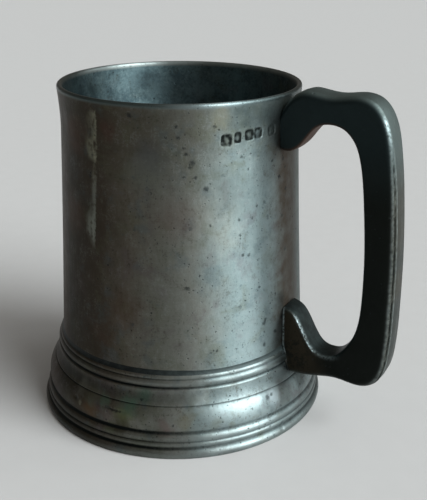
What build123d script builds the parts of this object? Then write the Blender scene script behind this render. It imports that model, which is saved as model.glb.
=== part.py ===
from build123d import *
import os

# A pewter pint measure. A turned drum with an everted lip stands in a hollow moulded foot, a
# floor disc closes it, and a hollow cast handle is soldered on at its two roots.
# Origin: the centre of the ring that the foot stands on. Z is up, the handle points along +X.

# Drum, from the spigot that stands in the foot up to the lip
rim_height = 122.0
spigot_radius = 45.75
middle_inset = 1.5
waist_inset = 2.7
lip_spread = 0.95
lip_flare_height = 16.0
lip_thickness = 2.0
drum_wall = 1.7

# Foot
foot_height = 28.2
foot_spread = 6.8
collar_land = 0.6
socket_clearance = 0.1
standing_ring_width = 2.6
skirt_wall = 2.3
skirt_bow = 1.15
skirt_top_share = 0.33
ledge_height = 19.6
ledge_thickness = 2.2
ledge_width = 5.5

# Floor disc, with a turned recess and ring underneath and the lathe's centre mark on top
disc_thickness = 1.9
disc_clearance = 0.1
underside_recess_depth = 0.4
underside_recess_margin = 7.0
underside_ring_width = 1.5
underside_ring_radius = 17.0
centre_dimple_radius = 1.3
centre_dimple_depth = 0.7

# Solder
foot_fillet_height = 1.7
floor_fillet_size = 1.5
floor_fillet_hollow = 0.12
root_film = 0.35
root_film_setback = 0.4

# Handle: a hollow box section with drafted flat sides, a little crowned inside and outside
handle_spread = 42.65
handle_rise_above_rim = 1.8
handle_drop_below_collar = 8.9
handle_outer_width = 13.2
handle_inner_width = 10.5
handle_wall = 1.6
outer_crown = 0.7
inner_crown = 0.4
shoulder_radius = 2.8
heel_radius = 1.4

# The foot's outline from the floor up: height as a share of the foot's height, reach as a share
# of its spread beyond the collar, and how far the stretch above bows out, as a share of height.
foot_outline_shares = (
    (0.000, 1.000, 0.024),
    (0.107, 0.955, -0.009),
    (0.150, 0.905, 0.011),
    (0.202, 0.845, 0.013),
    (0.287, 0.800, -0.013),
    (0.350, 0.765, 0.030),
    (0.621, 0.440, 0.000),
    (0.631, 0.375, 0.000),
    (0.639, 0.415, -0.011),
    (0.810, 0.210, 0.003),
    (0.830, 0.175, -0.009),
    (0.862, 0.140, 0.019),
    (0.950, 0.060, 0.010),
    (1.000, 0.000, 0.000),
)

# Stations of the handle from the upper root round to the lower one. Each gives the crest of the
# outer side and the middle of the inner side, as shares of the spread beyond the drum's waist and
# of the height between the handle's lowest and highest points.
handle_station_shares = (
    (-0.053, 0.893, -0.053, 0.797),
    (0.007, 0.934, 0.034, 0.791),
    (0.091, 0.978, 0.116, 0.801),
    (0.196, 1.000, 0.189, 0.832),
    (0.323, 0.995, 0.285, 0.878),
    (0.477, 0.992, 0.426, 0.894),
    (0.627, 1.000, 0.533, 0.880),
    (0.761, 0.987, 0.612, 0.844),
    (0.864, 0.938, 0.659, 0.793),
    (0.930, 0.840, 0.688, 0.722),
    (0.973, 0.685, 0.712, 0.612),
    (0.998, 0.484, 0.729, 0.465),
    (0.998, 0.313, 0.724, 0.312),
    (0.980, 0.153, 0.693, 0.216),
    (0.905, 0.044, 0.624, 0.151),
    (0.763, 0.011, 0.529, 0.106),
    (0.566, 0.017, 0.421, 0.095),
    (0.388, 0.009, 0.315, 0.114),
    (0.247, 0.000, 0.227, 0.173),
    (0.117, 0.000, 0.141, 0.227),
    (0.010, 0.005, 0.036, 0.244),
)

waist_height = rim_height - lip_flare_height
waist_radius = spigot_radius - waist_inset
middle_radius = spigot_radius - middle_inset
lip_radius = waist_radius + lip_spread
lip_centre_height = rim_height - lip_thickness / 2
spigot_top = foot_height + foot_fillet_height
collar_radius = spigot_radius + collar_land
socket_radius = spigot_radius + socket_clearance
foot_radius = collar_radius + foot_spread
ledge_inner_radius = socket_radius - ledge_width
disc_radius = spigot_radius - drum_wall - disc_clearance
floor_height = ledge_height + disc_thickness
handle_bottom = foot_height - handle_drop_below_collar
handle_height = rim_height + handle_rise_above_rim - handle_bottom


def bowed(start, end, bow):
    """An edge from start to end whose middle stands out to the right of its way by the bow."""
    if bow == 0:
        return Line(start, end)
    return SagittaArc(start, end, -bow)


def chain(points):
    """Straight edges through the points."""
    return [Line(a, b) for a, b in zip(points, points[1:])]


def turned(edges):
    """The solid that the closed outline of radius and height sweeps round the axis."""
    return revolve(Plane.XZ * make_face(edges), Axis.Z)


def turned_disc(radius, height, thickness):
    """A disc with its underside at the height."""
    sunk = (Align.CENTER, Align.CENTER, Align.MIN)
    return Pos(0, 0, height) * Cylinder(radius, thickness, align=sunk)


def drum_outer_edges(grow):
    """The drum's tapered wall and its flare to the lip, with every radius grown."""
    lip = (lip_radius + grow, lip_centre_height)
    waist = (waist_radius + grow, waist_height)
    middle = (middle_radius + grow, (waist_height + spigot_top) / 2)
    wall = ThreePointArc((spigot_radius + grow, spigot_top), middle, waist)
    flare = TangentArc(waist, lip, tangent=(0, 1))
    return [wall, flare]


def foot_outline(grow):
    """The points and edges of the foot's moulded outside, from the floor up to its collar."""
    points = []
    bows = []
    for height, reach, bow in foot_outline_shares:
        points.append((collar_radius + grow + reach * foot_spread, height * foot_height))
        bows.append(bow * foot_height)
    edges = [bowed(a, b, bow) for a, b, bow in zip(points, points[1:], bows)]
    return points, edges


def foot_fillet_edge(grow):
    """The sloping face of the solder between the top of the foot and the drum."""
    return Line((collar_radius + grow, foot_height), (spigot_radius + grow, spigot_top))


def drum():
    """The tapered drum with its rounded brim above and its parallel spigot below."""
    inner_wall = drum_outer_edges(-drum_wall)[0]
    brim_outer = (lip_radius, lip_centre_height)
    brim_top = (lip_radius - lip_thickness / 2, rim_height)
    brim_inner = (lip_radius - lip_thickness, lip_centre_height)
    brim = ThreePointArc(brim_outer, brim_top, brim_inner)
    waist_inner = (waist_radius - drum_wall, waist_height)
    inner_flare = TangentArc(waist_inner, brim_inner, tangent=(0, 1))
    spigot_inner = spigot_radius - drum_wall
    spigot = chain(
        [
            (spigot_inner, spigot_top),
            (spigot_inner, ledge_height),
            (spigot_radius, ledge_height),
            (spigot_radius, spigot_top),
        ]
    )
    return turned(drum_outer_edges(0) + [brim, inner_flare, inner_wall] + spigot)


def foot():
    """The hollow flared foot, with a socket and a ledge inside for the drum and its floor."""
    points, outside = foot_outline(0)
    ring_inner = (foot_radius - standing_ring_width, 0)
    ledge_under = ledge_height - ledge_thickness
    skirt_top = (collar_radius + skirt_top_share * foot_spread - skirt_wall, ledge_under)
    inside = chain(
        [
            points[-1],
            (socket_radius, foot_height),
            (socket_radius, ledge_height),
            (ledge_inner_radius, ledge_height),
            (ledge_inner_radius, ledge_under),
            skirt_top,
        ]
    )
    skirt = bowed(ring_inner, skirt_top, skirt_bow)
    standing_ring = Line(ring_inner, points[0])
    return turned(outside + inside + [skirt, standing_ring])


def floor_disc():
    """The disc on the foot's ledge that closes the drum."""
    disc = turned_disc(disc_radius, ledge_height, disc_thickness)
    recess_radius = ledge_inner_radius - underside_recess_margin
    recess = turned_disc(recess_radius, ledge_height, underside_recess_depth)
    ring_outer_radius = underside_ring_radius + underside_ring_width
    ring = turned_disc(ring_outer_radius, ledge_height, underside_recess_depth)
    ring -= turned_disc(underside_ring_radius, ledge_height, underside_recess_depth)
    dimple = turned(
        chain(
            [
                (0, floor_height - centre_dimple_depth),
                (centre_dimple_radius, floor_height),
                (0, floor_height),
                (0, floor_height - centre_dimple_depth),
            ]
        )
    )
    return disc - (recess - ring) - dimple


def foot_joint_solder():
    """The fillet in the corner between the drum and the top of the foot."""
    corner = (spigot_radius, foot_height)
    upright = Line((spigot_radius, spigot_top), corner)
    base = Line(corner, (collar_radius, foot_height))
    return turned([foot_fillet_edge(0), upright, base])


def floor_joint_solder():
    """The hollow fillet in the corner between the floor disc and the inside of the drum."""
    corner = (spigot_radius - drum_wall, floor_height)
    toe = (corner[0] - floor_fillet_size, floor_height)
    top = (corner[0], floor_height + floor_fillet_size)
    return turned([Line(corner, top), bowed(top, toe, -floor_fillet_hollow), Line(toe, corner)])


def body_envelope(grow):
    """The drum and foot filled solid, with every radius grown, to cut what meets them."""
    points, outside = foot_outline(grow)
    lip = (lip_radius + grow, lip_centre_height)
    close = chain([lip, (0, lip_centre_height), (0, 0), points[0]])
    return turned(drum_outer_edges(grow) + [foot_fillet_edge(grow)] + outside + close)


def station_point(reach, rise):
    """The point in the handle's middle plane at these shares of its spread and height."""
    return Vector(waist_radius + reach * handle_spread, 0, handle_bottom + rise * handle_height)


def handle_section(depth, inset):
    """The handle's section, set in all round by the inset, from the inner side to the crest."""
    outer = handle_outer_width / 2 - inset
    inner = handle_inner_width / 2 - inset
    crest = depth - inset
    shoulder = crest - outer_crown
    heel = inset + inner_crown
    outline = [
        ThreePointArc((shoulder, -outer), (crest, 0), (shoulder, outer)),
        Line((shoulder, outer), (heel, inner)),
        ThreePointArc((heel, inner), (inset, 0), (heel, -inner)),
        Line((heel, -inner), (shoulder, -outer)),
    ]
    face = make_face(outline)
    face = fillet(face.vertices().sort_by(Axis.X)[:2], heel_radius)
    return fillet(face.vertices().sort_by(Axis.X)[-2:], shoulder_radius)


def handle_form(inset):
    """The handle's whole form, running a little way into the drum at both roots."""
    sections = []
    for outer_reach, outer_rise, inner_reach, inner_rise in handle_station_shares:
        inner = station_point(inner_reach, inner_rise)
        along = station_point(outer_reach, outer_rise) - inner
        plane = Plane(origin=inner, x_dir=along, z_dir=along.cross(Vector(0, 1, 0)))
        sections.append(plane * handle_section(along.length, inset))
    return loft(sections)


def handle():
    """The hollow handle, its open roots cut to lie on the drum and the foot's top beads."""
    return handle_form(0) - body_envelope(root_film) - handle_form(handle_wall)


def root_solders():
    """The films of solder under the lower and the upper root."""
    film = body_envelope(root_film) - body_envelope(0)
    rings = (film & handle_form(root_film_setback)) - handle_form(handle_wall)
    return rings.solids().sort_by(Axis.Z)


lower_root_solder, upper_root_solder = root_solders()

parts = {
    "drum": drum(),
    "foot": foot(),
    "floor_disc": floor_disc(),
    "foot_joint_solder": foot_joint_solder(),
    "floor_joint_solder": floor_joint_solder(),
    "handle": handle(),
    "lower_root_solder": lower_root_solder,
    "upper_root_solder": upper_root_solder,
}

os.makedirs("parts", exist_ok=True)
for name, shape in parts.items():
    export_step(shape, os.path.join("parts", name + ".step"))
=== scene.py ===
"""A worn pewter pint measure with a moulded foot and a cast handle, on a plain pale floor."""
import math

import bmesh
import bpy
import numpy as np
from mathutils import Matrix, Vector, noise

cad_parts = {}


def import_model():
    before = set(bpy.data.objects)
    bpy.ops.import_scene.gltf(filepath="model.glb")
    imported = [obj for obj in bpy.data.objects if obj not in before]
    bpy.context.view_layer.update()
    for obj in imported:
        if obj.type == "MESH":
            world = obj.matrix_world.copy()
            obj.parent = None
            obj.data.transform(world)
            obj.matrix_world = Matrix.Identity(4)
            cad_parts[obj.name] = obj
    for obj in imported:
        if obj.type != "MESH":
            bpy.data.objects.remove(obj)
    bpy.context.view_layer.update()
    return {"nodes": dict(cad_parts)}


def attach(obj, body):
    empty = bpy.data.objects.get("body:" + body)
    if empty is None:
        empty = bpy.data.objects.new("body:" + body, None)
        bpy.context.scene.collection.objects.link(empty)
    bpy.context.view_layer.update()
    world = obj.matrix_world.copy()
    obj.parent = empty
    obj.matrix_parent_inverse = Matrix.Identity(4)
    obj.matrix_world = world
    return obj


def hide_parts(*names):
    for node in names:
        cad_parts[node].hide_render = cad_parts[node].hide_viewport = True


MM = 0.001

# Drum, in millimetres: height and radius
RIM_HEIGHT = 122.0
LIP_CENTRE_HEIGHT = 121.0
LIP_RADIUS = 44.0
LIP_THICKNESS = 2.0
WAIST_HEIGHT = 106.0
WAIST_RADIUS = 43.05
MIDDLE_HEIGHT = 67.95
MIDDLE_RADIUS = 44.25
SPIGOT_TOP = 29.9
SPIGOT_RADIUS = 45.75
DRUM_WALL = 1.7

# Foot
FOOT_HEIGHT = 28.2
COLLAR_RADIUS = 46.35
FOOT_SPREAD = 6.8
LEDGE_HEIGHT = 19.6
LEDGE_UNDERSIDE = 17.4
LEDGE_INNER_RADIUS = 40.35
SOCKET_RADIUS = 45.85
RING_INNER_RADIUS = 50.55
SKIRT_TOP_RADIUS = 46.3
SKIRT_BOW = 1.15

# Floor disc
FLOOR_HEIGHT = 21.5
DISC_RADIUS = 43.95
RECESS_RADIUS = 33.0
RECESS_DEPTH = 0.4
LATHE_RIPPLE = 0.03

# The foot's outline: height share, reach share, bow of the stretch above
FOOT_OUTLINE = (
    (0, 1, 0.024), (0.107, 0.955, -0.009), (0.15, 0.905, 0.011),
    (0.202, 0.845, 0.013), (0.287, 0.8, -0.013), (0.35, 0.765, 0.03),
    (0.621, 0.44, 0), (0.631, 0.375, 0), (0.639, 0.415, -0.011),
    (0.81, 0.21, 0.003), (0.83, 0.175, -0.009), (0.862, 0.14, 0.019),
    (0.95, 0.06, 0.01), (1, 0, 0),
)

# The handle's stations: outer reach and height, inner reach and height, in millimetres
HANDLE_STATIONS = (
    (40.79, 112.58, 40.79, 102.63), (43.36, 116.86, 44.5, 102),
    (46.95, 121.53, 48, 103), (51.4, 123.75, 51.1, 106.2),
    (56.83, 123.3, 55.2, 111.1), (63.4, 122.97, 61.2, 112.75),
    (69.8, 123.77, 65.8, 111.24), (75.5, 122.45, 69.15, 107.5),
    (79.9, 117.3, 71.14, 102.2), (82.73, 107.1, 72.4, 94.7),
    (84.55, 90.9, 73.4, 83.3), (85.6, 69.9, 74.15, 67.85),
    (85.6, 52, 73.93, 51.95), (84.85, 35.3, 72.62, 41.85),
    (81.65, 23.9, 69.65, 35.1), (75.58, 20.5, 65.6, 30.4),
    (67.2, 21.08, 61, 29.2), (59.6, 20.2, 56.5, 31.2),
    (53.58, 19.35, 52.75, 37.4), (48.05, 19.3, 49.05, 43),
    (43.48, 19.81, 44.6, 44.8),
)
HANDLE_OUTER_WIDTH = 13.2
HANDLE_INNER_WIDTH = 10.5
OUTER_CROWN = 0.7
INNER_CROWN = 0.4
SHOULDER_RADIUS = 2.8
HEEL_RADIUS = 1.4
ROOT_CLEARANCE = 0.35

# The scored line on the spine, in millimetres across the section and along the handle
LINE_PLACE = 0.8
LINE_WIDTH = 0.42
LINE_DEPTH = 0.3
LINE_START = 48
LINE_END = 126

# Rub and painted highlights on the handle's edges: places in millimetres along it, and how rubbed
# and painted pale they are
SHOULDER_RUB_AND_HIGHLIGHT = ((39.5, 42, 47, 52, 118, 126), (0, 0.7, 0.5, 0.2, 0.36, 0))
HEEL_HIGHLIGHT_AND_RUB = ((127, 132, 139, 143, 147, 150, 152.5), (0, 0.45, 0.3, 0.55, 1, 0.8, 0))

# Points of the meshes: round the turned pieces, along the handle and round its section
DRUM_TURNS = 400
FOOT_TURNS = 480
FLOOR_TURNS = 240
HANDLE_STEPS = 900
HANDLE_ROWS = 560
SHOULDER_POINTS = 34
SIDE_POINTS = 12
HEEL_POINTS = 10
GRIP_POINTS = 16
SAME_POINT = 1e-7

# Where the drum's mesh is finer for the punches: heights, and turns in degrees
PUNCH_HEIGHTS = (106.6, 113.4)
PUNCH_TURNS = (-44.0, -8.0)
FINE_TURN = 0.24
BRIM_BAND = 1.6

# Depth in millimetres at which a groove is full of dirt, and how much more a punch holds
FULL_GROOVE = 0.22
PUNCH_DIRT = 1.15

# The camera, from the photograph's perspective: metres, degrees, radians and pixels
CAMERA_REACH = 0.3185
CAMERA_HEIGHT = 0.1792
CAMERA_TURN = 31.5
CAMERA_PITCH = 16.89
CAMERA_YAW = 0.0756
CAMERA_ROLL = 0.0100
FOCAL_PIXELS = 888.2
FRAME_PIXELS = (427, 500)
CENTRE_PIXEL = (245.9, 184.3)
SENSOR_HEIGHT = 36.0

# Lamps: name, azimuth, elevation, strength, colour, and how wide each looks, in degrees
LAMPS = (
    ("window", -5, 35, 4.2, (0.93, 0.98, 1.0), 44),
    ("far_window", 22, 26, 1.1, (0.92, 0.98, 1.0), 56),
    ("wide_window", 0, 34, 0.8, (0.96, 0.98, 1.0), 120),
    ("overhead", -80, 76, 0.22, (1.0, 0.97, 0.9), 110),
)
LAMP_AIM = 0.06
SKY_COLOUR = (1.0, 0.94, 0.84, 1)
SKY_STRENGTH = 0.12
GROUND_REACH = 4.0
GROUND_GAP = 0.00002


def three_point_arc(start, middle, end, count):
    """Points on the circle through three points of radius and height."""
    (ax, ay), (bx, by), (cx, cy) = start, middle, end
    twist = 2 * (ax * (by - cy) + bx * (cy - ay) + cx * (ay - by))
    a, b, c = ax * ax + ay * ay, bx * bx + by * by, cx * cx + cy * cy
    centre_x = (a * (by - cy) + b * (cy - ay) + c * (ay - by)) / twist
    centre_y = (a * (cx - bx) + b * (ax - cx) + c * (bx - ax)) / twist
    radius = math.hypot(ax - centre_x, ay - centre_y)
    first, half, last = (math.atan2(y - centre_y, x - centre_x) for x, y in (start, middle, end))
    sweep = math.remainder(half - first, math.tau) + math.remainder(last - half, math.tau)
    turn = first + sweep * np.linspace(0, 1, count)
    return np.stack([centre_x + radius * np.cos(turn), centre_y + radius * np.sin(turn)], 1)


def bowed(start, end, bow, count):
    """Points from start to end whose middle stands out to the right of the way by the bow."""
    start, end = np.array(start, float), np.array(end, float)
    if bow == 0:
        return start + (end - start) * np.linspace(0, 1, count)[:, None]
    way = (end - start) / np.linalg.norm(end - start)
    middle = (start + end) / 2 + bow * np.array([way[1], -way[0]])
    return three_point_arc(start, middle, end, count)


def rising_flare(start, end, count):
    """Points on the arc that leaves start straight up and reaches end."""
    run, rise = end[0] - start[0], end[1] - start[1]
    radius = (run * run + rise * rise) / (2 * run)
    full = math.atan2(rise, radius - run)
    turn = full * np.linspace(0, 1, count)
    return np.stack([start[0] + radius * (1 - np.cos(turn)), start[1] + radius * np.sin(turn)], 1)


def joined(*runs):
    """One run of points, without the doubled ends."""
    points = [runs[0]]
    for run in runs[1:]:
        run = np.array(run, float)
        points.append(run[1:] if np.allclose(run[0], points[-1][-1]) else run)
    return np.concatenate(points)


def travelled(run):
    """How far along the run each point lies."""
    return np.concatenate([[0], np.cumsum(np.linalg.norm(np.diff(run, axis=0), axis=1))])


def at_even_steps(run, step):
    """The run again, with even steps between its points."""
    length = travelled(run)
    even = np.linspace(0, length[-1], max(8, int(length[-1] / step)) + 1)
    return np.stack([np.interp(even, length, run[:, k]) for k in (0, 1)], 1)


def softened(run, spread):
    """The run with its edges rubbed down over the spread, counted in points."""
    reach = int(3 * spread) + 1
    weights = np.exp(-0.5 * (np.arange(-reach, reach + 1) / spread) ** 2)
    weights /= weights.sum()
    before, after = 2 * run[0] - run[reach:0:-1], 2 * run[-1] - run[-2:-reach - 2:-1]
    padded = np.concatenate([before, run, after])
    return np.stack([np.convolve(padded[:, k], weights, "valid") for k in (0, 1)], 1)


def relief(run, spread):
    """How far each point of an upward run lies inside the softened run: more in grooves."""
    way = np.gradient(run, axis=0)
    way /= np.linalg.norm(way, axis=1)[:, None]
    shift = softened(run, spread) - run
    return shift[:, 0] * way[:, 1] - shift[:, 1] * way[:, 0]


def drum_wall_line(grow, count):
    """The drum's tapered wall from the foot up to the waist."""
    return three_point_arc(
        (SPIGOT_RADIUS + grow, SPIGOT_TOP),
        (MIDDLE_RADIUS + grow, MIDDLE_HEIGHT),
        (WAIST_RADIUS + grow, WAIST_HEIGHT),
        count,
    )


def foot_face_line():
    """The foot's moulded face from the floor up to the collar."""
    corners = [
        (COLLAR_RADIUS + reach * FOOT_SPREAD, height * FOOT_HEIGHT)
        for height, reach, bow in FOOT_OUTLINE
    ]
    bows = [bow * FOOT_HEIGHT for height, reach, bow in FOOT_OUTLINE]
    runs = [bowed(a, b, bow, 24) for a, b, bow in zip(corners, corners[1:], bows)]
    return joined(*runs)


def body_line():
    """The whole outside of the vessel from the floor to the lip, as height and radius."""
    fillet = [(COLLAR_RADIUS, FOOT_HEIGHT), (SPIGOT_RADIUS, SPIGOT_TOP)]
    flare = rising_flare((WAIST_RADIUS, WAIST_HEIGHT), (LIP_RADIUS, LIP_CENTRE_HEIGHT), 20)
    line = joined(foot_face_line(), fillet, drum_wall_line(0, 60), flare)
    order = np.argsort(line[:, 1], kind="stable")
    return line[order, 1], line[order, 0]


def shade(red, green, blue):
    """A screen colour from 0 to 255 as the linear colour that a socket takes."""
    linear = []
    for part in (red / 255, green / 255, blue / 255):
        linear.append(part / 12.92 if part <= 0.04045 else ((part + 0.055) / 1.055) ** 2.4)
    return (*linear, 1.0)


def lumps(x, y, z, size, seed):
    """Smooth noise between about -1 and 1 at each point, with lumps of the size."""
    shift = Vector((seed * 13.7, seed * 7.3, seed * 3.1))
    flat = zip(np.ravel(x) / size, np.ravel(y) / size, np.ravel(z) / size)
    values = [noise.noise(Vector(point) + shift) for point in flat]
    return np.array(values).reshape(np.shape(x))


def placed(name, data):
    """A new object of the data, in the scene."""
    item = bpy.data.objects.new(name, data)
    bpy.context.scene.collection.objects.link(item)
    return item


def mesh_piece(name, points, faces, crease=40, wear_maps=None):
    """A smooth mesh of points in millimetres, with edges sharper than the crease left sharp."""
    mesh = bpy.data.meshes.new(name)
    mesh.from_pydata((np.asarray(points) * MM).tolist(), [], faces)
    for label, values in (wear_maps or {}).items():
        layer = mesh.attributes.new(label, "FLOAT", "POINT")
        layer.data.foreach_set("value", np.clip(values, 0, 1).astype(np.float32).ravel())
    form = bmesh.new()
    form.from_mesh(mesh)
    bmesh.ops.remove_doubles(form, verts=form.verts, dist=SAME_POINT)
    bmesh.ops.recalc_face_normals(form, faces=form.faces)
    form.to_mesh(mesh)
    form.free()
    mesh.shade_smooth()
    mesh.set_sharp_from_angle(angle=math.radians(crease))
    return placed(name, mesh)


def quads(rows, columns, looped):
    """Faces between rows of points that close round; looped joins the last row to the first."""
    faces = []
    for row in range(rows if looped else rows - 1):
        below, above = row * columns, (row + 1) % rows * columns
        for k in range(columns):
            after = (k + 1) % columns
            faces.append((below + k, below + after, above + after, above + k))
    return faces


def turned(name, outline, turn, wear=None, marks=None, groove=None, inside=None):
    """The closed outline swept through the turns round the axis, worn and marked."""
    segments = len(turn)
    radius = np.repeat(outline[:, :1], segments, 1)
    height = np.repeat(outline[:, 1:], segments, 1)
    x, y = radius * np.cos(turn), radius * np.sin(turn)
    groove = np.zeros(len(outline)) if groove is None else groove
    hollow = np.repeat(groove[:, None], segments, 1)
    push = 0 if wear is None else wear(x, y, height)
    if marks is not None:
        sunk = marks(x, y, height)
        push = push - sunk
        hollow = hollow + PUNCH_DIRT * sunk
    x, y = x + push * np.cos(turn), y + push * np.sin(turn)
    points = np.stack([x, y, height], 2).reshape(-1, 3)
    faces = quads(len(outline), segments, looped=True)
    maps = {"hollow": hollow / FULL_GROOVE, "crest": -hollow / FULL_GROOVE}
    if inside is not None:
        maps["inside"] = np.repeat(inside[:, None], segments, 1)
    return mesh_piece(name, points, faces, wear_maps=maps)


def even_turns(count):
    """Turns all round the axis."""
    return np.linspace(0, math.tau, count, endpoint=False)


def spline_through(knots, values, at):
    """A smooth curve through the values at the knots, read at the given places."""
    gap = np.diff(knots)
    count = len(knots)
    system = np.eye(count)
    right = np.zeros((count, values.shape[1]))
    for k in range(1, count - 1):
        system[k, k - 1:k + 2] = gap[k - 1], 2 * (gap[k - 1] + gap[k]), gap[k]
        slope_after = (values[k + 1] - values[k]) / gap[k]
        slope_before = (values[k] - values[k - 1]) / gap[k - 1]
        right[k] = 6 * (slope_after - slope_before)
    bend = np.linalg.solve(system, right)
    k = np.clip(np.searchsorted(knots, at) - 1, 0, count - 2)
    width = gap[k][:, None]
    before = (knots[k + 1] - at)[:, None]
    after = (at - knots[k])[:, None]
    return (
        (bend[k] * before**3 + bend[k + 1] * after**3) / (6 * width)
        + (values[k] / width - bend[k] * width / 6) * before
        + (values[k + 1] / width - bend[k + 1] * width / 6) * after
    )


def rounded_corner(corner, toward_a, toward_b, radius, count):
    """Points of the fillet in a corner, and how far along each side it starts."""
    a = toward_a / np.linalg.norm(toward_a)
    b = toward_b / np.linalg.norm(toward_b)
    half = math.acos(np.clip(a @ b, -1, 1)) / 2
    reach = radius / math.tan(half)
    centre = corner + (a + b) / np.linalg.norm(a + b) * radius / math.sin(half)
    first, last = corner + a * reach - centre, corner + b * reach - centre
    start = math.atan2(first[1], first[0])
    sweep = math.remainder(math.atan2(last[1], last[0]) - start, math.tau)
    turn = start + sweep * np.linspace(0, 1, count)
    return centre + radius * np.stack([np.cos(turn), np.sin(turn)], 1), reach


def stretches(counts, *ends):
    """One value for each point of some stretches, from the values at the ends of each."""
    runs = [np.linspace(first, last, count) for count, (first, last) in zip(counts, ends)]
    return np.concatenate(runs)


def handle_section(depth):
    """The handle's section, with its wear maps and the way round it from the near shoulder."""
    outer, inner = HANDLE_OUTER_WIDTH / 2, HANDLE_INNER_WIDTH / 2
    shoulder = np.array([depth - OUTER_CROWN, outer])
    heel = np.array([INNER_CROWN, inner])
    over = np.array([2 * OUTER_CROWN / outer, -1.0])
    under = np.array([-2 * INNER_CROWN / inner, -1.0])
    mirror = np.array([1, -1])
    near_shoulder, out_reach = rounded_corner(
        shoulder, over, heel - shoulder, SHOULDER_RADIUS, SHOULDER_POINTS
    )
    near_heel, in_reach = rounded_corner(heel, shoulder - heel, under, HEEL_RADIUS, HEEL_POINTS)
    far_shoulder = near_shoulder[::-3] * mirror
    edge = outer - out_reach
    far_half, near_half = -np.linspace(edge, 0.4, 12)[1:], np.linspace(0.4, edge, 24)[:-1]
    across = np.concatenate([far_half, [0], near_half])
    crown = np.stack([depth - OUTER_CROWN * (across / outer) ** 2, across], 1)
    down = np.linspace(0, 1, SIDE_POINTS + 2)[1:-1, None]
    side = near_shoulder[-1] + (near_heel[0] - near_shoulder[-1]) * down
    low = np.linspace(inner - in_reach, in_reach - inner, GRIP_POINTS + 2)[1:-1]
    grip = np.stack([INNER_CROWN * (low / inner) ** 2, low], 1)
    runs = [crown, near_shoulder, side, near_heel, grip]
    runs += [near_heel[::-1] * mirror, side[::-1] * mirror, far_shoulder]
    counts = [len(run) for run in runs]
    section = np.concatenate(runs)
    way = travelled(section)
    way -= way[len(crown)]
    heel_place = way[sum(counts[:3]) + HEEL_POINTS // 2]
    none, rise, full, fall = (0, 0), (0, 1), (1, 1), (1, 0)
    maps = {
        "cheek": stretches(counts, none, rise, full, full, full, full, full, fall),
        "grip": stretches(counts, none, none, none, rise, full, fall, none, none),
        "near_side": stretches(counts, none, rise, full, fall, none, none, none, none),
        "heel": np.exp(-(((way - heel_place) / 0.8) ** 2)),
        "shoulder": np.exp(-(((way - 1.1) / 0.9) ** 2)),
    }
    return section, maps, way


def outward(section):
    """Unit vectors that stand out from the closed section."""
    way = np.roll(section, -1, 0) - np.roll(section, 1, 0)
    way /= np.linalg.norm(way, axis=1)[:, None]
    return np.stack([way[:, 1], -way[:, 0]], 1)


def scored_line(way, place, wander, breaks, knocks):
    """How far the scored line and its lips stand out round the section, and their dirt."""
    across = way - LINE_PLACE - 0.22 * wander
    groove = np.exp(-((across / LINE_WIDTH) ** 2))
    near_lip = np.exp(-(((across + 1.15) / LINE_WIDTH) ** 2))
    far_lip = np.exp(-(((across - 1.2) / 0.5) ** 2))
    lips = 1.4 * near_lip + 0.6 * far_lip
    shown = np.clip((place - LINE_START) / 9, 0, 1) * np.clip((LINE_END - place) / 6, 0, 1)
    strength = shown * np.clip(0.9 + 1.1 * breaks, 0.1, 1.0)
    raised = 0.05 * shown * lips * (1 + 0.6 * knocks) - LINE_DEPTH * strength * groove
    dirt = strength * groove - 0.6 * shown * lips * np.clip(0.7 + 0.9 * knocks, 0.1, 1)
    return raised, dirt


def trimmed_to_body(layers, along):
    """The layers again, in even rows between the places where each line meets the body."""
    body_heights, body_radii = body_line()
    clear = np.hypot(layers[..., 0], layers[..., 1])
    clear -= np.interp(layers[..., 2], body_heights, body_radii) + ROOT_CLEARANCE
    half = len(along) // 2
    even = np.linspace(0, 1, HANDLE_ROWS)
    trimmed = np.empty((HANDLE_ROWS,) + layers.shape[1:])
    for k in range(layers.shape[1]):
        inside = np.nonzero(clear[:, k] < 0)[0]
        first, last = inside[inside < half].max(), inside[inside > half].min()
        ends = []
        for a, b in ((first, first + 1), (last, last - 1)):
            share = clear[a, k] / (clear[a, k] - clear[b, k])
            ends.append(along[a] + share * (along[b] - along[a]))
        places = ends[0] + (ends[1] - ends[0]) * even
        for layer in range(layers.shape[2]):
            trimmed[:, k, layer] = np.interp(places, along, layers[:, k, layer])
    return trimmed


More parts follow.
